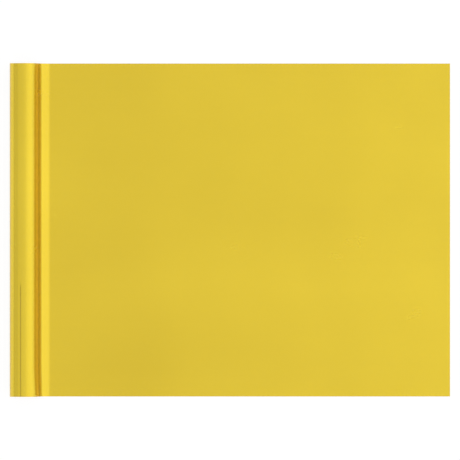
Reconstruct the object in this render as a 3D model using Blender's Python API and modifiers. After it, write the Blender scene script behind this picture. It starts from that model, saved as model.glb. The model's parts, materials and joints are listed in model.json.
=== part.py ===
"""Welding-curtain film on a paper core, lying part unrolled on a flat surface.

One sheet of clear yellow film comes off the top of the roll, falls down its side in an
S-shaped curve and lies flat out to its free edge. The outermost turn is slack, so it stands
off the tight turns wound on the core. The core runs along Y, the film leaves it towards +X,
and the whole rests on Z = 0. The film is one piece of material, modelled as three solids:
the tight turns on the core, the slack turn with the fall, and the stretch that lies flat.
"""

import math

import bpy

# Driving sizes, in metres.
FILM_WIDTH = 1.400
FILM_THICKNESS = 0.0004
LAID_LENGTH = 1.676
FALL_REACH = 0.061
LOOP_SLACK = 0.0254
ROLL_OFFSET = 0.0063
WINDING_TURNS = 2.65
CORE_BORE = 0.076
CORE_WALL = 0.003
TAPE_WIDTH = 0.025
TAPE_THICKNESS = 0.0002
PLUG_DEPTH = 0.030
PLUG_BORE = 0.025
PLUG_TAPER = 0.0004
PLUG_LEAD_IN = 0.002
PLUG_EDGE = 0.0008

# Clearance kept between solids that touch in use.
SEAT_GAP = 0.0003

# Facets in a full turn, shared by every round piece so that their corners line up.
TURN_STEPS = 64
FALL_STEPS = 18

# Sizes that follow.
CORE_RADIUS = CORE_BORE / 2 + CORE_WALL
TAPE_RADIUS = CORE_RADIUS + SEAT_GAP + TAPE_THICKNESS / 2
WINDING_PITCH = FILM_THICKNESS + SEAT_GAP
WINDING_STEPS = round(WINDING_TURNS * TURN_STEPS)
WINDING_GROWTH = WINDING_PITCH * WINDING_STEPS / TURN_STEPS
FIRST_TURN_RADIUS = TAPE_RADIUS + TAPE_THICKNESS / 2 + SEAT_GAP + FILM_THICKNESS / 2
LAST_TURN_RADIUS = FIRST_TURN_RADIUS + WINDING_GROWTH
ROLL_RADIUS = LAST_TURN_RADIUS + FILM_THICKNESS / 2
LOOP_RADIUS = ROLL_RADIUS + LOOP_SLACK / 2
LOOP_MID_RADIUS = LOOP_RADIUS - FILM_THICKNESS / 2
OVERALL_LENGTH = LOOP_RADIUS + LOOP_MID_RADIUS + FALL_REACH + LAID_LENGTH
LOOP_X = LOOP_RADIUS - OVERALL_LENGTH / 2
FALL_X = LOOP_X + LOOP_MID_RADIUS
FOOT_X = FALL_X + FALL_REACH
ROLL_X = LOOP_X + ROLL_OFFSET
ROLL_Z = FILM_THICKNESS + SEAT_GAP + ROLL_RADIUS

# Angles round the roll, from +X towards +Z.
TAIL_ANGLE = 1.5 * math.pi
STEP_ANGLE = 2 * math.pi / TURN_STEPS


def clear_scene():
    for old in list(bpy.data.objects):
        bpy.data.objects.remove(old, do_unlink=True)


def new_collection(name):
    made = bpy.data.collections.new(name)
    bpy.context.scene.collection.children.link(made)
    return made


def material(name, colour, roughness, alpha=1.0):
    made = bpy.data.materials.new(name)
    made.use_nodes = True
    shader = made.node_tree.nodes["Principled BSDF"]
    shader.inputs["Base Color"].default_value = (*colour, 1.0)
    shader.inputs["Roughness"].default_value = roughness
    shader.inputs["Metallic"].default_value = 0.0
    shader.inputs["Alpha"].default_value = alpha
    made.diffuse_color = (*colour, alpha)
    return made


def place(obj, collection, surface, parent=None):
    collection.objects.link(obj)
    obj.data.materials.append(surface)
    obj.parent = parent


def film_strip(name, path, width, thickness):
    """An open curve drawn in the X-Z plane, extruded along Y and given its thickness."""
    curve = bpy.data.curves.new(name, "CURVE")
    curve.dimensions = "2D"
    curve.fill_mode = "NONE"
    curve.extrude = width / 2
    curve.resolution_u = 1
    spline = curve.splines.new("POLY")
    spline.points.add(len(path) - 1)
    for point, (x, z) in zip(spline.points, path):
        point.co = (x, z, 0.0, 1.0)
    strip = bpy.data.objects.new(name, curve)
    strip.rotation_euler = (math.pi / 2, 0.0, 0.0)
    shell = strip.modifiers.new("thickness", "SOLIDIFY")
    shell.thickness = thickness
    shell.offset = 0.0
    shell.use_even_offset = True
    return strip


def turned(name, profile):
    """A closed profile of (radius, distance) pairs turned about the object's own Z axis."""
    mesh = bpy.data.meshes.new(name)
    corners = [(radius, 0.0, distance) for radius, distance in profile]
    sides = [(i, (i + 1) % len(corners)) for i in range(len(corners))]
    mesh.from_pydata(corners, sides, [])
    obj = bpy.data.objects.new(name, mesh)
    screw = obj.modifiers.new("turn", "SCREW")
    screw.axis = "Z"
    screw.steps = TURN_STEPS
    screw.render_steps = TURN_STEPS
    screw.use_merge_vertices = True
    screw.merge_threshold = 0.00001
    screw.use_smooth_shade = False
    return obj


def arc(centre, radius, start, steps):
    """Points on a circle, one facet apart, going round by the given number of facets."""
    return [
        (
            centre[0] + radius * math.cos(start + STEP_ANGLE * i),
            centre[1] + radius * math.sin(start + STEP_ANGLE * i),
        )
        for i in range(steps + 1)
    ]


def fall_path():
    """A quarter ellipse, from the flat foot up to where the film stands upright."""
    drop = LOOP_RADIUS - FILM_THICKNESS / 2
    path = []
    for i in range(FALL_STEPS):
        turn = math.pi / 2 * i / FALL_STEPS
        x = FOOT_X - FALL_REACH * math.sin(turn)
        z = LOOP_RADIUS - drop * math.cos(turn)
        path.append((x, z))
    return path


def winding_path():
    """A spiral about the roll's axis, from its tail under the roll in to its first end."""
    path = []
    for i in range(WINDING_STEPS + 1):
        radius = LAST_TURN_RADIUS - WINDING_PITCH * i / TURN_STEPS
        angle = TAIL_ANGLE + STEP_ANGLE * i
        path.append((radius * math.cos(angle), radius * math.sin(angle)))
    return path


def make_film_web(parts, surface):
    start = FOOT_X + SEAT_GAP
    length = FOOT_X + LAID_LENGTH - start
    bpy.ops.mesh.primitive_cube_add(size=1.0)
    web = bpy.context.active_object
    web.name = "film_web"
    web.data.name = "film_web"
    for corner in web.data.vertices:
        corner.co.x = (corner.co.x + 0.5) * length
        corner.co.y *= FILM_WIDTH
        corner.co.z = (corner.co.z + 0.5) * FILM_THICKNESS
    web.location = (start, 0.0, 0.0)
    for holder in list(web.users_collection):
        holder.objects.unlink(web)
    place(web, parts, surface)


def make_film_drape(parts, surface):
    three_quarters = 3 * TURN_STEPS // 4
    path = fall_path()
    path += arc((LOOP_X, LOOP_RADIUS), LOOP_MID_RADIUS, 0.0, three_quarters)
    path.append((ROLL_X, FILM_THICKNESS / 2))
    drape = film_strip("film_drape", path, FILM_WIDTH, FILM_THICKNESS)
    place(drape, parts, surface)


def make_film_wraps(parts, surface, roll):
    wraps = film_strip("film_wraps", winding_path(), FILM_WIDTH, FILM_THICKNESS)
    place(wraps, parts, surface, roll)


def make_core(parts, surface, roll):
    half = FILM_WIDTH / 2
    bore = CORE_BORE / 2
    profile = [(CORE_RADIUS, half), (CORE_RADIUS, -half), (bore, -half), (bore, half)]
    core = turned("core_tube", profile)
    core.rotation_euler = (-math.pi / 2, 0.0, 0.0)
    place(core, parts, surface, roll)


def make_start_tape(parts, surface, roll):
    end_angle = TAIL_ANGLE + STEP_ANGLE * WINDING_STEPS
    steps = round(TAPE_WIDTH / (TAPE_RADIUS * STEP_ANGLE))
    path = arc((0.0, 0.0), TAPE_RADIUS, end_angle - STEP_ANGLE * steps, steps)
    tape = film_strip("start_tape", path, FILM_WIDTH, TAPE_THICKNESS)
    place(tape, parts, surface, roll)


def plug_profile():
    """Half section of a plug, from its outer face inwards: a thick ring with eased edges."""
    outside = CORE_BORE / 2 - SEAT_GAP
    tip = outside - PLUG_TAPER
    bore = PLUG_BORE / 2
    return [
        (outside - PLUG_EDGE, 0.0),
        (outside, -PLUG_EDGE),
        (tip, PLUG_LEAD_IN - PLUG_DEPTH),
        (tip - PLUG_LEAD_IN, -PLUG_DEPTH),
        (bore + PLUG_EDGE, -PLUG_DEPTH),
        (bore, PLUG_EDGE - PLUG_DEPTH),
        (bore, -PLUG_EDGE),
        (bore + PLUG_EDGE, 0.0),
    ]


def make_plug(name, side, parts, surface, roll):
    """A plug in the core's end at -Y (side -1) or +Y (side +1), flush with its face."""
    plug = turned(name, plug_profile())
    plug.location = (0.0, side * FILM_WIDTH / 2, 0.0)
    plug.rotation_euler = (-side * math.pi / 2, 0.0, 0.0)
    place(plug, parts, surface, roll)


def main():
    clear_scene()
    parts = new_collection("welding_curtain_roll")
    roll = bpy.data.objects.new("roll_axis", None)
    roll.location = (ROLL_X, 0.0, ROLL_Z)
    parts.objects.link(roll)

    film = material("yellow_film", (0.72, 0.50, 0.05), 0.12, 0.75)
    board = material("core_board", (0.62, 0.50, 0.36), 0.85)
    tape = material("clear_tape", (0.80, 0.78, 0.70), 0.40)
    wood = material("pressed_wood", (0.45, 0.31, 0.18), 0.80)

    make_film_web(parts, film)
    make_film_drape(parts, film)
    make_film_wraps(parts, film, roll)
    make_core(parts, board, roll)
    make_start_tape(parts, tape, roll)
    make_plug("core_plug_front", -1, parts, wood, roll)
    make_plug("core_plug_rear", 1, parts, wood, roll)


main()
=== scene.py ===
import json
import math

import bpy
import numpy as np
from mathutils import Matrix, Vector


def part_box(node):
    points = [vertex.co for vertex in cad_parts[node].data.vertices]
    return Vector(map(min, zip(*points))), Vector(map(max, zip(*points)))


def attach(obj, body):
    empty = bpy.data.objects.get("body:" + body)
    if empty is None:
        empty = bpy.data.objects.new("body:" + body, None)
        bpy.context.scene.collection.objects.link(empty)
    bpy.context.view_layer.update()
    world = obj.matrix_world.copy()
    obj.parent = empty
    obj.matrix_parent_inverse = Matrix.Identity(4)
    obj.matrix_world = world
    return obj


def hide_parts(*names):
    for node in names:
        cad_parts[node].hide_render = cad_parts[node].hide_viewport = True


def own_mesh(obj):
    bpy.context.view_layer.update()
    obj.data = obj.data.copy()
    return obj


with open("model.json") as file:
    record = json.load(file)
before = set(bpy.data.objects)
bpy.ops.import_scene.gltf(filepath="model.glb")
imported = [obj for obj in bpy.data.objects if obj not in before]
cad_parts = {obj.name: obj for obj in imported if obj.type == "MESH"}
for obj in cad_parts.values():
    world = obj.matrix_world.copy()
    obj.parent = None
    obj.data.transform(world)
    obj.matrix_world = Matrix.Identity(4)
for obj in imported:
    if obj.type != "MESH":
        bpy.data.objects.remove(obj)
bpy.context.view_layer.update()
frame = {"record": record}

# ---------------------------------------------------------------- sizes, in metres

FILM = 0.0004                   # the film's thickness
SEAT_GAP = 0.0003               # the gap between each wound layer and the next
TURN_PITCH = FILM + SEAT_GAP
TURN_SIDES = 64                 # the flat sides of one full turn of the wound solids
WINDING_SIDES = 170             # the sides in all the tight turns
WINDING_TURNS = WINDING_SIDES / TURN_SIDES
CORE_WALL = 0.003
CORE_EDGE = 0.0004              # how far back its cut edges are eased
PLUG_BORE_RADIUS = 0.0125
PLUG_EDGE = 0.0009
PLUG_TAPER = 0.0004
PLUG_LEAD_IN = 0.002
TAPE = 0.0002                   # the tape's thickness
TAPE_WIDTH = 0.025

joint_of = {joint["name"]: joint for joint in frame["record"]["behaviour"]["joints"]}
ROLL_X, _, ROLL_Z = joint_of["roll_turn"]["pos_m"]
FILM_TRAVEL = joint_of["film_draw"]["range_m"][1]

drape_low, drape_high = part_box("film_drape")
_, web_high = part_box("film_web")
wraps_low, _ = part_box("film_wraps")
core_low, core_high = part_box("core_tube")
plug_low, plug_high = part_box("core_plug_front")

WIDTH = drape_high[1] - drape_low[1]
HALF = WIDTH / 2
LOOP_RADIUS = (drape_high[2] - drape_low[2]) / 2
LOOP_X = drape_low[0] + LOOP_RADIUS
LOOP_MID = LOOP_RADIUS - FILM / 2
FALL_X = LOOP_X + LOOP_MID
FOOT_X = drape_high[0]
FREE_X = web_high[0]
WINDING_RADIUS = ROLL_Z - wraps_low[2] - FILM / 2
CORE_RADIUS = (core_high[2] - core_low[2]) / 2
PLUG_RADIUS = (plug_high[2] - plug_low[2]) / 2
PLUG_DEPTH = plug_high[1] - plug_low[1]

# The angle, from +X towards +Z, at which the film passes under the roll.
TAIL = 1.5 * math.pi

# The fall: its steepest slope and the ramp at its foot, in degrees, how far out from the top
# of the slack turn it starts to ease off, and the lengths over which it eases.
STEEPEST = 79.3
FOOT_SLOPE = 27.2
FALL_TURN = 0.06
FALL_EASE = 0.029
FOOT_EASE = 0.018

# The crease in the slack turn: where it runs along the top, how far it reaches in from the
# front end and over what length it fades, its width, its depth and its painted shade.
CREASE_X = LOOP_X - 0.0103
CREASE_START = -HALF + 0.48
CREASE_FADE = 0.02
CREASE_WIDTH = 0.0022
CREASE_DEPTH = 0.0009
CREASE_SHADE = 0.75

# Painted shade: dark lines painted along the top and on the fall, the place and darkness of each.
TOP_SHADE_LINES = ((LOOP_X - 0.0250, 0.30), (LOOP_X - 0.0331, 0.15))
TOP_SHADE_WIDTH = 0.0013
FALL_SHADE_LINES = ((FALL_X - 0.0040, 0.30), (FALL_X + 0.0092, 0.42))
FALL_SHADE_WIDTH = 0.0022

# Where the fall is at its steepest, and how wide the painted amber light there shows.
STEEP_X = FALL_X + 0.0023
STEEP_WIDTH = 0.0025

# How far the fall stands out at the roll's front end, where that starts, over what length it
# grows and how wide it is, and how far, how often and over what width the top sways.
FLARE = 0.0025
FLARE_START = -HALF + 0.14
FLARE_LENGTH = 0.13
FLARE_WIDTH = 0.020
SWAY = 0.00025
SWAY_PERIOD = 0.47
SWAY_WIDTH = 0.040

# The ripples of the flat stretch: size, length, bend, period of the bend and start of each, in
# metres and turns, and how far from the foot they reach their full size.
RIPPLES = (
    (0.0011, 0.46, 0.16, 1.30, 0.7),
    (0.0006, 0.27, 0.22, 0.85, 2.1),
    (0.0004, 0.71, 0.30, 0.60, 4.0),
)
RIPPLE_RISE = 0.16


# ---------------------------------------------------------------- surfaces

def grid_mesh(name, points, closed_u=False, closed_v=False):
    """A mesh over a grid of points, rows by columns. Each cell is one quad, a closed direction
    joins its last line to its first, and a fully closed one is turned to face outwards."""
    rows, columns = points.shape[:2]
    index = np.arange(rows * columns).reshape(rows, columns)
    down = np.roll(index, -1, 0)
    right = np.roll(index, -1, 1)
    across = np.roll(down, -1, 1)
    cells = np.stack([index, right, across, down], axis=2)
    cells = cells[: rows if closed_u else rows - 1, : columns if closed_v else columns - 1]
    cells = cells.reshape(-1, 4)
    flat = points.reshape(-1, 3)
    if closed_u and closed_v:
        corners = flat[cells]
        spans = np.cross(corners[:, 2] - corners[:, 0], corners[:, 3] - corners[:, 1])
        if (corners.mean(axis=1) * spans).sum() < 0:
            cells = cells[:, ::-1]
    mesh = bpy.data.meshes.new(name)
    mesh.vertices.add(rows * columns)
    mesh.vertices.foreach_set("co", flat.reshape(-1).astype(np.float32))
    mesh.loops.add(cells.size)
    mesh.loops.foreach_set("vertex_index", cells.reshape(-1).astype(np.int32))
    mesh.polygons.add(len(cells))
    mesh.polygons.foreach_set("loop_start", np.arange(0, cells.size, 4, dtype=np.int32))
    mesh.polygons.foreach_set("use_smooth", np.ones(len(cells), dtype=bool))
    mesh.update()
    mesh.validate()
    piece = bpy.data.objects.new(name, mesh)
    bpy.context.scene.collection.objects.link(piece)
    return piece


def thicken(piece, thickness):
    """Gives an open sheet its real thickness, half to each side, with crisp cut edges."""
    shell = piece.modifiers.new("thickness", "SOLIDIFY")
    shell.thickness = thickness
    shell.offset = 0.0
    shell.use_even_offset = True
    bpy.context.view_layer.update()
    solid = bpy.data.meshes.new_from_object(
        piece.evaluated_get(bpy.context.evaluated_depsgraph_get())
    )
    piece.modifiers.clear()
    piece.data = solid
    solid.set_sharp_from_angle(angle=math.radians(40.0))
    return piece


def mark(piece, name, values):
    """Stores one number per point, for a material to read."""
    layer = piece.data.attributes.new(name, "FLOAT", "POINT")
    layer.data.foreach_set("value", values.reshape(-1).astype(np.float32))


def bell(distance, width):
    """1 at distance 0, falling away on both sides in a bell curve."""
    return np.exp(-((distance / width) ** 2))


def ease(share):
    """0 below 0, 1 above 1, and an S-shaped rise between."""
    held = np.clip(share, 0.0, 1.0)
    return held * held * (3.0 - 2.0 * held)


def relief(rng, u, v, cells_u, cells_v):
    """Smooth random heights from -1 to 1: a coarse lattice of random heights, blended between
    its points with an S-shaped weight. It repeats after 1 in u and in v."""
    lattice = rng.uniform(-1.0, 1.0, (cells_u, cells_v))
    a = np.mod(u, 1.0) * cells_u
    b = np.mod(v, 1.0) * cells_v
    row = np.floor(a).astype(int)
    column = np.floor(b).astype(int)
    along = ease(a - row)
    across = ease(b - column)
    row = row % cells_u
    column = column % cells_v
    below = (row + 1) % cells_u
    beside = (column + 1) % cells_v
    top = lattice[row, column] * (1 - across) + lattice[row, beside] * across
    bottom = lattice[below, column] * (1 - across) + lattice[below, beside] * across
    return top * (1 - along) + bottom * along


def rounded(corners, radius, steps=6):
    """A closed outline with each corner replaced by a parabola that starts and ends at
    radius from it, or halfway along a shorter side."""
    before = np.roll(corners, 1, axis=0) - corners
    after = np.roll(corners, -1, axis=0) - corners
    long_before = np.linalg.norm(before, axis=1, keepdims=True)
    long_after = np.linalg.norm(after, axis=1, keepdims=True)
    start = corners + before / long_before * np.minimum(radius, long_before * 0.45)
    end = corners + after / long_after * np.minimum(radius, long_after * 0.45)
    t = np.linspace(0.0, 1.0, steps)[None, :, None]
    curve = start[:, None] * (1 - t) ** 2 + corners[:, None] * 2 * t * (1 - t) + end[:, None] * t ** 2
    return curve.reshape(-1, 2)


def evenly(outline, count):
    """A closed outline walked in equal steps."""
    loop = np.vstack([outline, outline[:1]])
    run = np.concatenate([[0.0], np.cumsum(np.linalg.norm(np.diff(loop, axis=0), axis=1))])
    wanted = np.linspace(0.0, run[-1], count, endpoint=False)
    return np.stack([np.interp(wanted, run, loop[:, 0]), np.interp(wanted, run, loop[:, 1])], axis=1)


def outward(outline):
    """The unit normal at each point of a closed outline, pointing out of it."""
    ahead = np.roll(outline, -1, axis=0) - np.roll(outline, 1, axis=0)
    normal = np.stack([ahead[:, 1], -ahead[:, 0]], axis=1)
    normal /= np.linalg.norm(normal, axis=1, keepdims=True)
    x, y = outline[:, 0], outline[:, 1]
    area = (x * np.roll(y, -1) - np.roll(x, -1) * y).sum()
    return normal if area > 0 else -normal


def turned_ring(name, section, around, lift=None):
    """A closed section of radius and height along Y, turned once about the roll's axis. Lift
    moves each point of the grid, angle by section point, out along the section's normal."""
    angle = np.linspace(0.0, 2 * math.pi, around, endpoint=False)
    radius = np.broadcast_to(section[None, :, 0], (around, len(section)))
    height = np.broadcast_to(section[None, :, 1], (around, len(section)))
    if lift is not None:
        normal = outward(section)
        radius = radius + lift * normal[None, :, 0]
        height = height + lift * normal[None, :, 1]
    points = np.stack([
        ROLL_X + radius * np.cos(angle)[:, None],
        height,
        ROLL_Z + radius * np.sin(angle)[:, None],
    ], axis=2)
    return grid_mesh(name, points, closed_u=True, closed_v=True)


# ---------------------------------------------------------------- shader nodes

class Wire:
    """An output of a node. Sums and products of wires and numbers add their Math nodes."""

    def __init__(self, nodes, socket):
        self.nodes = nodes
        self.socket = socket

    def math(self, operation, *values):
        """A Math node on wires or numbers."""
        return self.nodes.add("ShaderNodeMath", {"operation": operation}, dict(enumerate(values)))

    def __add__(self, other):
        return self.math("ADD", self, other)

    def __radd__(self, other):
        return self.math("ADD", other, self)

    def __sub__(self, other):
        return self.math("SUBTRACT", self, other)

    def __rsub__(self, other):
        return self.math("SUBTRACT", other, self)

    def __mul__(self, other):
        return self.math("MULTIPLY", self, other)

    def __rmul__(self, other):
        return self.math("MULTIPLY", other, self)

    def __truediv__(self, other):
        return self.math("DIVIDE", self, other)

    def __rtruediv__(self, other):
        return self.math("DIVIDE", other, self)

    def __pow__(self, other):
        return self.math("POWER", self, other)

    def __gt__(self, other):
        return self.math("GREATER_THAN", self, other)

    def __neg__(self):
        return self.math("MULTIPLY", self, -1.0)

    def size(self):
        """The value without its sign."""
        return self.math("ABSOLUTE", self)

    def above(self, other):
        """The larger of the two."""
        return self.math("MAXIMUM", self, other)

    def wave(self):
        """The sine."""
        return self.math("SINE", self)

    def part(self):
        """What is left after the last whole number."""
        return self.math("FRACT", self)

    def bell(self, middle, width):
        """1 where this equals middle, falling away on both sides in a bell curve."""
        return self.math("POWER", math.e, -(((self - middle) / width) ** 2.0))

    def rise(self, low, high):
        """0 up to low, 1 from high on, and an S-shaped rise between."""
        settings = {"interpolation_type": "SMOOTHSTEP"}
        sockets = {"Value": self, "From Min": low, "From Max": high}
        return self.nodes.add("ShaderNodeMapRange", settings, sockets)


class Nodes:
    """The nodes of one material or world."""

    def __init__(self, holder):
        holder.use_nodes = True
        self.tree = holder.node_tree
        self.tree.nodes.clear()

    def add(self, kind, settings=None, sockets=None, output=0):
        """Adds a node, makes its settings, fills its sockets and returns one output."""
        node = self.tree.nodes.new(kind)
        for key, value in (settings or {}).items():
            if key == "stops":
                ramp = node.color_ramp.elements
                while len(ramp) < len(value):
                    ramp.new(1.0)
                for element, (place, colour) in zip(ramp, value):
                    element.position = place
                    element.color = (*colour, 1.0)
            else:
                setattr(node, key, value)
        for key, value in (sockets or {}).items():
            target = node.inputs[key]
            if isinstance(value, Wire):
                self.tree.links.new(value.socket, target)
            elif isinstance(value, tuple) and target.type == "RGBA":
                target.default_value = (*value, 1.0)
            else:
                target.default_value = value
        return Wire(self, node.outputs[output])

    def place(self, scale=(1.0, 1.0, 1.0), turn=(0.0, 0.0, 0.0), shift=(0.0, 0.0, 0.0)):
        """Object coordinates through a Mapping node."""
        own = self.add("ShaderNodeTexCoord", output="Object")
        sockets = {"Vector": own, "Scale": scale, "Rotation": turn, "Location": shift}
        return self.add("ShaderNodeMapping", None, sockets)

    def axes(self, where):
        """The X, Y and Z of a vector."""
        node = self.add("ShaderNodeSeparateXYZ", None, {0: where}).socket.node
        return [Wire(self, output) for output in node.outputs]

    def noise(self, where, scale, detail=3.0, roughness=0.5, distortion=0.0):
        """Soft noise, from 0 to 1."""
        sockets = {
            "Vector": where,
            "Scale": scale,
            "Detail": detail,
            "Roughness": roughness,
            "Distortion": distortion,
        }
        return self.add("ShaderNodeTexNoise", None, sockets)

    def cells(self, where, scale, feature="F1", output="Distance"):
        """The distances in a pattern of cells, or another of its outputs."""
        settings = {"feature": feature}
        sockets = {"Vector": where, "Scale": scale}
        return self.add("ShaderNodeTexVoronoi", settings, sockets, output)

    def ramp(self, value, *stops):
        """A colour for a value, from stops of place and colour."""
        return self.add("ShaderNodeValToRGB", {"stops": stops}, {0: value})

    def mix(self, share, a, b):
        """Colour a with this share of colour b."""
        sockets = {0: share, 6: a, 7: b}
        return self.add("ShaderNodeMix", {"data_type": "RGBA"}, sockets, output=2)

    def bump(self, height, distance, strength=1.0):
        """A Bump node for a height from 0 to 1 that stands this far in metres."""
        sockets = {"Height": height, "Strength": strength, "Distance": distance}
        return self.add("ShaderNodeBump", None, sockets)

    def solid(self, **sockets):
        """A Principled surface, its sockets named with underscores for spaces."""
        named = {key.replace("_", " "): value for key, value in sockets.items()}
        return self.add("ShaderNodeBsdfPrincipled", None, named)

    def end(self, kind, surface):
        """Joins the finished surface to the output."""
        node = self.tree.nodes.new(kind)
        self.tree.links.new(surface.socket, node.inputs["Surface"])


def new_material(name):
    """A new material and its nodes."""
    surface = bpy.data.materials.new(name)
    return surface, Nodes(surface)


# ---------------------------------------------------------------- materials

# The film's colours and finish. The tint is what its clear share gives to the light behind.
FILM_DEEP = (0.668, 0.492, 0.029)
FILM_LIGHT = (0.818, 0.617, 0.041)
FILM_SCUFF = (0.86, 0.74, 0.30)
FILM_TINT = (0.974, 0.776, 0.231)
FILM_METALLIC = 0.82
FILM_ROUGHNESS = 0.26
FILM_COAT = 0.79
COAT_IOR = 1.305
FILM_SPECULAR = 0.1
FILM_GLINT = (0.88, 0.74, 0.48)
FILM_OPACITY = 0.86

# Painted light and shade on the flat stretch: where it is painted lighter or darker, over what
# width, and by how much: a painted light band across it, painted shade in a corner at its
# front end and at its foot, and painted light towards its free end.
BAND_Y = -HALF + 0.45
BAND_WIDTH = 0.11
BAND_PAINTED_LIGHT = 0.14
CORNER_X = FOOT_X + 0.30
CORNER_Y = -HALF + 0.12
CORNER_LENGTH = 0.26
CORNER_WIDTH = 0.17
CORNER_PAINTED_SHADE = 0.26
FOOT_SHADE_X = FOOT_X + 0.27
FOOT_SHADE_LENGTH = 0.26
FOOT_PAINTED_SHADE = 0.26
FREE_END_PAINTED_LIGHT = 0.34

# The amber of the film's cut edges, the painted shade of its crease and dark lines, and the
# painted amber light on the steep part of the fall, how much of the edge amber and of that
# light shows, and how far in from the side and free edges the first reaches.
EDGE_AMBER = (0.62, 0.36, 0.015)
EDGE_SHARE = 0.45
PAINTED_SHADE_AMBER = (0.36, 0.25, 0.02)
STEEP_PAINTED_LIGHT = (0.96, 0.54, 0.04)
STEEP_LIGHT_SHARE = 0.50
SIDE_EDGE = 0.0007
FREE_EDGE = 0.0003

# The paperboard: how wide a ply is, how wide its glue line, how far apart the plies' edges are,
# and how far in from the ends the cut face reaches.
BOARD_PLY = 0.085
BOARD_SEAM = 0.0012
BOARD_RINGS = 0.00042
CUT_END = 0.0002


def film_material():
    """Glossy tinted film: a satin yellow body under a clear skin, which lets a share of the
    light straight through. The tone drifts a little from place to place, fine lines run the
    way the film was drawn, the skin is very slightly rippled and here and there rubbed, and
    the colour gathers in the cut edges. Painted light and shade lie over the body colour: a
    painted light band, a painted shaded corner, a painted shaded foot and a painted lighter
    free end on the flat stretch, painted shade in the crease and in dark lines along the top
    and on the fall, and painted amber light on the steepest part of the fall."""
    surface, n = new_material("yellow_film")
    x, y, _ = n.axes(n.place())

    drift = n.noise(n.place(scale=(1.1, 2.6, 1.1)), 1.0, 2.0, 0.45)
    drawn = n.noise(n.place(scale=(0.9, 130.0, 0.9)), 1.0, 3.0, 0.6)
    fine = n.noise(n.place(scale=(4.0, 900.0, 4.0)), 1.0, 2.0, 0.5)
    broad = n.noise(n.place(), 3.2, 2.0, 0.5)
    rubbed = n.noise(n.place(scale=(5.0, 11.0, 5.0)), 1.0, 4.0, 0.55, 0.4).rise(0.40, 0.90)
    hair = n.noise(n.place(scale=(1500.0, 45.0, 1500.0), turn=(0.0, 0.0, 0.5)), 1.0, 1.0, 0.5)
    scratch = hair.rise(0.70, 0.74) * rubbed

    # Painted light and shade: the band and the free end are painted lighter, the corner and the foot
    # painted darker.
    band = y.bell(BAND_Y, BAND_WIDTH) * x.rise(FOOT_X, FOOT_X + 0.40)
    corner = y.bell(CORNER_Y, CORNER_WIDTH) * x.bell(CORNER_X, CORNER_LENGTH)
    foot = x.bell(FOOT_SHADE_X, FOOT_SHADE_LENGTH)
    free_end = x.rise(FREE_X - 0.875, FREE_X - 0.075)
    tone = (
        0.5
        + 0.8 * (drift - 0.5)
        + 0.3 * (drawn - 0.5)
        + 0.2 * (fine - 0.5)
        + BAND_PAINTED_LIGHT * band
        - CORNER_PAINTED_SHADE * corner
        - FOOT_PAINTED_SHADE * foot
        + FREE_END_PAINTED_LIGHT * free_end
    )
    body = n.mix(tone.rise(-0.7, 1.7), FILM_DEEP, FILM_LIGHT)
    edge = (y.size() > HALF - SIDE_EDGE).above(x > FREE_X - FREE_EDGE)
    body = n.mix(EDGE_SHARE * edge, body, EDGE_AMBER)
    # Painted shade: the crease and the dark lines along the top and on the fall are painted darker.
    painted_shade_marks = n.add("ShaderNodeAttribute", {"attribute_name": "crease"}, output="Fac")
    body = n.mix(painted_shade_marks, body, PAINTED_SHADE_AMBER)
    # Painted light: a brighter amber painted along the steepest part of the fall.
    steep = n.add("ShaderNodeAttribute", {"attribute_name": "steep"}, output="Fac")
    body = n.mix(STEEP_LIGHT_SHARE * steep, body, STEEP_PAINTED_LIGHT)
    body = n.mix(0.015 * scratch, body, FILM_SCUFF)

    gloss = FILM_ROUGHNESS + 0.04 * (broad - 0.5) + 0.015 * rubbed
    ripple = n.noise(n.place(), 85.0, 2.0, 0.45)
    skin = n.bump(0.80 * ripple + 0.16 * drawn + 0.04 * fine, 0.000012)
    sheet = n.solid(
        Base_Color=body, Metallic=FILM_METALLIC, Roughness=gloss, Normal=skin,
        Specular_IOR_Level=FILM_SPECULAR, Specular_Tint=FILM_GLINT,
        Coat_Weight=FILM_COAT, Coat_Roughness=0.06, Coat_IOR=COAT_IOR,
    )
    clear = n.add("ShaderNodeBsdfTransparent", None, {"Color": FILM_TINT})
    n.end("ShaderNodeOutputMaterial",
          n.add("ShaderNodeMixShader", None, {0: FILM_OPACITY, 1: clear, 2: sheet}))
    return surface


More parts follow.
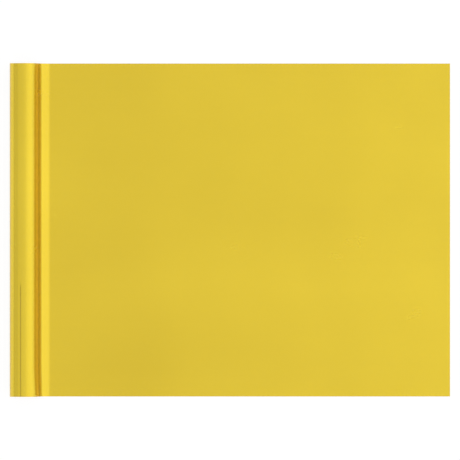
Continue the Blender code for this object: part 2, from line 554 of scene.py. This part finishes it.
def board_material():
    """Spiral-wound paperboard: long fibres lying along the ply, a thin glue line where each
    turn of the outer ply butts against the next, and the edges of the plies as fine rings on
    the cut ends. The seam's place is the height along the tube less one ply for each turn
    of the angle round it."""
    surface, n = new_material("core_board")
    x, y, z = n.axes(n.place(shift=(-ROLL_X, 0.0, -ROLL_Z)))
    radius = (x ** 2.0 + z ** 2.0) ** 0.5
    angle = x.math("ARCTAN2", z, x)
    turns = y / BOARD_PLY - angle / (2 * math.pi)
    from_seam = (turns.part() - 0.5).size() * BOARD_PLY
    seam = from_seam.bell(0.0, BOARD_SEAM)
    ply = n.noise(n.place(), 3.0, 1.0)
    fibre = n.noise(n.place(scale=(260.0, 60.0, 260.0)), 1.0, 5.0, 0.62, 0.4)
    speck = n.noise(n.place(), 900.0, 2.0, 0.5).rise(0.66, 0.74)
    blotch = n.noise(n.place(), 14.0, 3.0, 0.5)
    tone = n.ramp(0.55 * fibre + 0.25 * blotch + 0.20 * ply,
                  (0.30, (0.300, 0.178, 0.082)),
                  (0.52, (0.430, 0.274, 0.138)),
                  (0.74, (0.545, 0.375, 0.210)))
    tone = n.mix(0.45 * speck, tone, (0.22, 0.13, 0.06))
    tone = n.mix(0.55 * seam, tone, (0.20, 0.115, 0.05))
    end = y.size() > HALF - CUT_END
    rings = (radius * (2 * math.pi / BOARD_RINGS)).wave().rise(0.1, 0.9)
    tone = n.mix(end * 0.5 * rings, tone, (0.24, 0.145, 0.068))
    height = 0.5 * fibre + 0.25 * blotch - 0.7 * seam - 0.5 * end * rings
    body = n.solid(
        Base_Color=tone, Roughness=0.86 + 0.1 * (fibre - 0.5),
        Normal=n.bump(height, 0.00016), Specular_IOR_Level=0.3,
    )
    n.end("ShaderNodeOutputMaterial", body)
    return surface


def wood_material():
    """Pressed wood: flat chips of every tone from straw to bark lying in resin, with fine
    grain in each chip and dark lines of resin between them."""
    surface, n = new_material("pressed_wood")
    bent = n.add("ShaderNodeVectorMath", {"operation": "MULTIPLY_ADD"}, {
        0: n.add("ShaderNodeTexNoise", None, {"Vector": n.place(), "Scale": 60.0},
                 output="Color"),
        1: (0.010, 0.010, 0.010),
        2: n.place(scale=(1.0, 0.7, 0.38), turn=(0.0, 0.5, 0.0)),
    })
    chip = n.add("ShaderNodeSeparateColor", None, {0: n.cells(bent, 330.0, output="Color")})
    gap = n.cells(bent, 330.0, "DISTANCE_TO_EDGE").rise(0.07, 0.0)
    crumb = n.add("ShaderNodeSeparateColor", None, {
        0: n.cells(n.place(scale=(0.5, 1.0, 1.0), turn=(0.0, -0.7, 0.0)), 900.0, output="Color"),
    })
    grain = n.noise(n.place(scale=(1900.0, 300.0, 260.0), turn=(0.0, 0.5, 0.0)), 1.0, 3.0, 0.6)
    tone = n.ramp(0.34 * chip + 0.22 * crumb + 0.44 * grain,
                  (0.24, (0.210, 0.105, 0.038)),
                  (0.42, (0.390, 0.222, 0.092)),
                  (0.58, (0.520, 0.325, 0.150)),
                  (0.76, (0.640, 0.440, 0.225)))
    tone = n.mix(0.35 * gap, tone, (0.17, 0.085, 0.032))
    height = 0.35 * chip + 0.30 * grain + 0.20 * crumb - 0.35 * gap
    body = n.solid(
        Base_Color=tone, Roughness=0.74 + 0.22 * (grain - 0.5) - 0.12 * gap,
        Normal=n.bump(height, 0.00018), Specular_IOR_Level=0.3,
    )
    n.end("ShaderNodeOutputMaterial", body)
    return surface


def tape_material():
    """Double-sided mounting tape: a cream tissue with crinkles across it, and glue that has
    taken up a little dust."""
    surface, n = new_material("clear_tape")
    tissue = n.noise(n.place(), 520.0, 4.0, 0.6)
    crinkle = n.noise(n.place(scale=(700.0, 60.0, 700.0)), 1.0, 3.0, 0.55)
    dust = n.noise(n.place(), 1500.0, 1.0).rise(0.68, 0.76)
    tone = n.ramp(0.6 * tissue + 0.4 * crinkle,
                  (0.32, (0.560, 0.480, 0.300)),
                  (0.55, (0.720, 0.650, 0.470)),
                  (0.78, (0.810, 0.760, 0.620)))
    tone = n.mix(0.4 * dust, tone, (0.32, 0.28, 0.20))
    body = n.solid(
        Base_Color=tone, Roughness=0.34 + 0.25 * tissue,
        Normal=n.bump(0.6 * crinkle + 0.4 * tissue, 0.00008),
    )
    n.end("ShaderNodeOutputMaterial", body)
    return surface


# ---------------------------------------------------------------- film pieces

def fall_path():
    """Where the film runs between the flat stretch and the tight turns, from its foot. The
    fall is drawn by its slope at each distance out from the top of the slack turn: the
    circle's slope, but no steeper than a fall that starts at its steepest, eases off to a
    gentle ramp and ends level. The bends between are softened, and adding up the tangents of
    the slope gives the height. Beyond the top the film follows the circle: down the far side
    and under. Then it runs straight to below the roll."""
    out = np.linspace(0.0, FOOT_X - LOOP_X, 1201)
    circle = np.degrees(np.arcsin(np.clip(out / LOOP_MID, 0.0, 1.0)))
    steep = (STEEPEST - FOOT_SLOPE) * (1.0 - ease((out - FALL_TURN) / FALL_EASE))
    ramp = FOOT_SLOPE * ease((out[-1] - out) / FOOT_EASE)
    slope = np.radians(np.minimum(circle, steep + ramp))
    soft = bell(np.linspace(-2.0, 2.0, 41), 1.0)
    slope = np.pad(slope, 20, mode="reflect", reflect_type="odd")
    slope = np.convolve(slope, soft / soft.sum(), "valid")
    drop = np.concatenate([[0.0], np.cumsum(np.tan((slope[1:] + slope[:-1]) / 2))])
    height = FILM / 2 + 2 * LOOP_MID * (1.0 - drop / drop[-1])
    fall = np.stack([LOOP_X + out, height], axis=1)[::-1]
    run = np.concatenate([[0.0], np.cumsum(np.linalg.norm(np.diff(fall, axis=0), axis=1))])
    wanted = np.linspace(0.0, run[-1], 161)
    fall = np.stack([np.interp(wanted, run, fall[:, 0]), np.interp(wanted, run, fall[:, 1])], axis=1)
    turned = np.linspace(math.pi / 2, TAIL, 193)[1:]
    loop = np.stack([
        LOOP_X + LOOP_MID * np.cos(turned),
        LOOP_RADIUS + LOOP_MID * np.sin(turned),
    ], axis=1)
    end = np.array([[ROLL_X, FILM / 2]])
    return np.concatenate([fall, loop, end])


def film_piece(piece, node, body, surface):
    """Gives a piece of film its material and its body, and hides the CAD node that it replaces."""
    piece.data.materials.append(surface)
    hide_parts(node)
    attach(piece, body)
    return piece


def make_laid_film(surface):
    """The flat stretch. Long ripples are left in it by its winding: their crests run along the
    roll and bend slowly over the width, and they fade to nothing at the foot and where the
    sheet rests fully on the ground. The height is half the film plus each ripple's size times
    half of one plus the cosine of its phase."""
    along = np.linspace(FOOT_X, FREE_X, 241)
    across = np.linspace(-HALF, HALF, 181)
    x, y = np.meshgrid(along, across)
    from_foot = x - FOOT_X
    z = np.full_like(x, FILM / 2)
    for size, length, bend, period, start in RIPPLES:
        phase = from_foot / length + bend * np.sin(2 * math.pi * y / period + start)
        wave = 0.5 + 0.5 * np.cos(2 * math.pi * phase + start)
        z += size * wave * ease(from_foot / RIPPLE_RISE)
    piece = thicken(grid_mesh("laid_film", np.stack([x, y, z], axis=2)), FILM)
    film_piece(piece, "film_web", "laid_film", surface)
    length = FREE_X - FOOT_X
    1 - FILM_TRAVEL / length
    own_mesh(piece)
    return piece


def make_slack_film(surface):
    """The fall and the slack turn. The path of the film is carried along the roll, and each
    point moves out along the path's normal: the fall flares towards the front end, the top
    sways in a slow sine, and a crease in the shape of a bell curve runs out to that end. The
    crease and painted dark lines beside it and on the fall are stored for the material as
    painted shade, and the steepest part as the place of painted amber light."""
    across = np.linspace(-HALF, HALF, 141)
    path = fall_path()
    ahead = np.gradient(path, axis=0)
    side = np.stack([ahead[:, 1], -ahead[:, 0]], axis=1)
    side /= np.linalg.norm(side, axis=1, keepdims=True)
    x, y = np.meshgrid(path[:, 0], across)
    on_top = np.broadcast_to(path[None, :, 1] > LOOP_RADIUS, x.shape)
    reach = ease((CREASE_START - y) / CREASE_FADE)
    crease = bell(x - CREASE_X, CREASE_WIDTH) * reach * on_top
    # Painted shade: dark lines along the top and on the fall, stored with the crease for the
    # material.
    shade_lines = sum(tone * bell(x - line, TOP_SHADE_WIDTH) for line, tone in TOP_SHADE_LINES) * on_top
    shade_lines += sum(tone * bell(x - line, FALL_SHADE_WIDTH) for line, tone in FALL_SHADE_LINES)
    grown = ease((FLARE_START - y) / FLARE_LENGTH)
    flare = FLARE * grown * bell(x - FALL_X, FLARE_WIDTH)
    sway = SWAY * np.sin(2 * math.pi * y / SWAY_PERIOD + 1.0) * bell(x - LOOP_X, SWAY_WIDTH)
    out = flare + sway * on_top - CREASE_DEPTH * crease
    points = np.stack([
        x + out * side[None, :, 0],
        y,
        path[None, :, 1] + out * side[None, :, 1],
    ], axis=2)
    piece = grid_mesh("slack_film", points)
    mark(piece, "crease", np.clip(CREASE_SHADE * crease + shade_lines, 0.0, 1.0))
    # The place of the painted amber light on the fall.
    mark(piece, "steep", bell(x - STEEP_X, STEEP_WIDTH))
    thicken(piece, FILM)
    film_piece(piece, "film_drape", "slack_turn", surface)
    return piece


def make_wound_film(surface):
    """The tight turns: a spiral about the roll's axis, one pitch closer to the core with every
    turn. The turns run out of true along the axis by a fraction of a millimetre."""
    turn = np.linspace(0.0, WINDING_TURNS, 681)
    radius = WINDING_RADIUS - TURN_PITCH * turn
    angle = TAIL + 2 * math.pi * turn
    path = np.stack([ROLL_X + radius * np.cos(angle), ROLL_Z + radius * np.sin(angle)], axis=1)
    across = np.linspace(-HALF, HALF, 25)
    points = np.empty((len(across), len(path), 3))
    points[:, :, 0] = path[None, :, 0]
    points[:, :, 1] = across[:, None] + 0.0005 * np.sin(1.7 * angle + 0.6)[None, :]
    points[:, :, 2] = path[None, :, 1]
    piece = thicken(grid_mesh("wound_film", points), FILM)
    film_piece(piece, "film_wraps", "roll", surface)
    return piece


# ---------------------------------------------------------------- core pieces

def core_piece(piece, node, body, surface):
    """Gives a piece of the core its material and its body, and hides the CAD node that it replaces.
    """
    piece.data.materials.append(surface)
    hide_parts(node)
    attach(piece, body)


def make_core(surface):
    """The paper tube: a long thin section turned round, its cut ends slightly eased and its
    surface out of round by a few hundredths of a millimetre."""
    rng = np.random.default_rng(11)
    inside = CORE_RADIUS - CORE_WALL
    corners = np.array([[CORE_RADIUS, -HALF], [CORE_RADIUS, HALF], [inside, HALF], [inside, -HALF]])
    section = np.vstack([
        np.stack([np.full(49, CORE_RADIUS), np.linspace(-HALF + 0.01, HALF - 0.01, 49)], axis=1),
        rounded(corners, CORE_EDGE)[6:18],
        np.stack([np.full(49, inside), np.linspace(HALF - 0.01, -HALF + 0.01, 49)], axis=1),
        np.roll(rounded(corners, CORE_EDGE), -18, axis=0)[:12],
    ])
    u, v = np.meshgrid(np.linspace(0, 1, 160, endpoint=False),
                       np.linspace(0, 1, len(section), endpoint=False), indexing="ij")
    lift = 0.00005 * relief(rng, u, v, 9, 24) - 0.00005
    tube = turned_ring("core_paper_tube", section, 160, lift)
    core_piece(tube, "core_tube", "roll", surface)


def make_tape(surface):
    """The tape under the film's first turn: an arc as wide as the tape, run along the core."""
    radius = CORE_RADIUS + SEAT_GAP + TAPE / 2
    end = TAIL + 2 * math.pi * WINDING_TURNS
    side = 2 * math.pi / TURN_SIDES
    steps = round(TAPE_WIDTH / (radius * side))
    angle = np.linspace(end - steps * side, end, 49)
    across = np.linspace(-HALF, HALF, 181)
    wander = 0.0004 * np.sin(across * 7.0 + 0.4) / radius
    turned = angle[None, :] + wander[:, None] * np.linspace(-1.0, 1.0, 49)[None, :]
    points = np.stack([
        ROLL_X + radius * np.cos(turned),
        np.broadcast_to(across[:, None], turned.shape),
        ROLL_Z + radius * np.sin(turned),
    ], axis=2)
    piece = thicken(grid_mesh("mounting_tape", points), TAPE)
    core_piece(piece, "start_tape", "roll", surface)


def make_plug(name, node, body, side, surface):
    """A pressed-wood plug: a thick ring whose outer wall tapers a little to a bevelled lead-in,
    with eased edges and shallow pits where chips have left its faces."""
    rng = np.random.default_rng(23 + side)
    face = side * HALF
    tip = face - side * PLUG_DEPTH
    corners = np.array([
        [PLUG_RADIUS, face],
        [PLUG_RADIUS - PLUG_TAPER, tip + side * PLUG_LEAD_IN],
        [PLUG_RADIUS - PLUG_TAPER - PLUG_LEAD_IN, tip],
        [PLUG_BORE_RADIUS, tip],
        [PLUG_BORE_RADIUS, face],
    ])
    section = evenly(rounded(corners, PLUG_EDGE), 150)
    u, v = np.meshgrid(np.linspace(0, 1, 220, endpoint=False),
                       np.linspace(0, 1, 150, endpoint=False), indexing="ij")
    pits = ease((relief(rng, u, v, 60, 31) - 0.35) / 0.4)
    swell = relief(rng, u, v, 14, 12)
    lift = -0.00022 * pits + 0.00005 * swell - 0.00006
    core_piece(turned_ring(name, section, 220, lift), node, body, surface)


# ---------------------------------------------------------------- stage

# What the floor gives back to the light, and what the eye sees of it: each a grey and a glow.
FLOOR_LIT = (0.93, 0.24)
FLOOR_SEEN = (0.09, 0.92)
FLOOR_REACH = 30.0
FLOOR_HEIGHT = -0.0005

# The room's light: how strong it is everywhere, how much more comes from overhead and from a
# bank on the right, and the bank's tilt from overhead in degrees and its focus.
AMBIENT = 0.81
OVERHEAD = 0.24
BANK = 0.525
BANK_TILT = 76.5
BANK_FOCUS = 2.0

# The lamp on the right: watts, metres, and the place along X that it points at.
SIDE_POWER = 10.9
SIDE_X = 3.2
SIDE_Z = 3.6
SIDE_WIDTH = 5.0
SIDE_LENGTH = 5.0
SIDE_AIM = 0.3

# The lens and its sensor in millimetres, and the share of the frame's width that is filled.
LENS = 800.0
SENSOR = 36.0
FRAME_SHARE = 22 / 23


def make_floor():
    """A wide plain floor. To the eye it is nearly all glow, so it stays white with only a
    hint of shadow, while the light that it throws on the film is that of a pale matt board."""
    surface, n = new_material("floor_white")
    lit, seen = [
        n.solid(Base_Color=(grey, grey, grey), Roughness=0.9, Specular_IOR_Level=0.0,
                Emission_Color=(1.0, 1.0, 1.0), Emission_Strength=glow)
        for grey, glow in (FLOOR_LIT, FLOOR_SEEN)
    ]
    eye = n.add("ShaderNodeLightPath")
    n.end("ShaderNodeOutputMaterial",
          n.add("ShaderNodeMixShader", None, {0: eye, 1: lit, 2: seen}))
    reach = np.array([-FLOOR_REACH, FLOOR_REACH])
    x, y = np.meshgrid(reach, reach, indexing="ij")
    floor = grid_mesh("floor", np.stack([x, y, np.full_like(x, FLOOR_HEIGHT)], axis=2))
    floor.data.materials.append(surface)


def make_world():
    """A soft studio all round: even light, more from overhead, most from the right."""
    world = bpy.data.worlds.new("studio")
    n = Nodes(world)
    direction = n.add("ShaderNodeTexCoord", output="Generated")
    x, y, z = n.axes(direction)
    tilt = math.radians(BANK_TILT)
    bank = (x * math.sin(tilt) + z * math.cos(tilt)).above(0.0) ** BANK_FOCUS
    strength = AMBIENT + OVERHEAD * z.above(0.0) + BANK * bank
    back = n.add("ShaderNodeBackground", None, {"Color": (1.0, 1.0, 1.0), "Strength": strength})
    n.end("ShaderNodeOutputWorld", back)
    bpy.context.scene.world = world


def make_side():
    """One large soft lamp high on the right."""
    light = bpy.data.lights.new("side_softbox", "AREA")
    light.shape = "RECTANGLE"
    light.size = SIDE_WIDTH
    light.size_y = SIDE_LENGTH
    light.energy = SIDE_POWER
    lamp = bpy.data.objects.new("side_softbox", light)
    bpy.context.scene.collection.objects.link(lamp)
    lamp.location = (SIDE_X, 0.0, SIDE_Z)
    away = Vector((SIDE_X - SIDE_AIM, 0.0, SIDE_Z))
    lamp.rotation_euler = away.to_track_quat("Z", "Y").to_euler()
    lamp.visible_camera = False


def make_camera():
    """Straight above, with a very long lens, so that the height of the roll hardly shows."""
    lens = bpy.data.cameras.new("camera")
    lens.sensor_width = SENSOR
    lens.lens = LENS
    lens.clip_start = 1.0
    lens.clip_end = 200.0
    view_width = (FREE_X - (LOOP_X - LOOP_RADIUS)) / FRAME_SHARE
    camera = bpy.data.objects.new("camera", lens)
    bpy.context.scene.collection.objects.link(camera)
    camera.location = (0.0, 0.0, view_width * LENS / SENSOR)
    bpy.context.scene.camera = camera


bpy.context.scene.view_settings.view_transform = "Standard"
film = film_material()
make_laid_film(film)
make_slack_film(film)
make_wound_film(film)
make_core(board_material())
make_tape(tape_material())
wood = wood_material()
make_plug("front_plug", "core_plug_front", "plug_front", -1, wood)
make_plug("rear_plug", "core_plug_rear", "plug_rear", 1, wood)
make_floor()
make_world()
make_side()
make_camera()
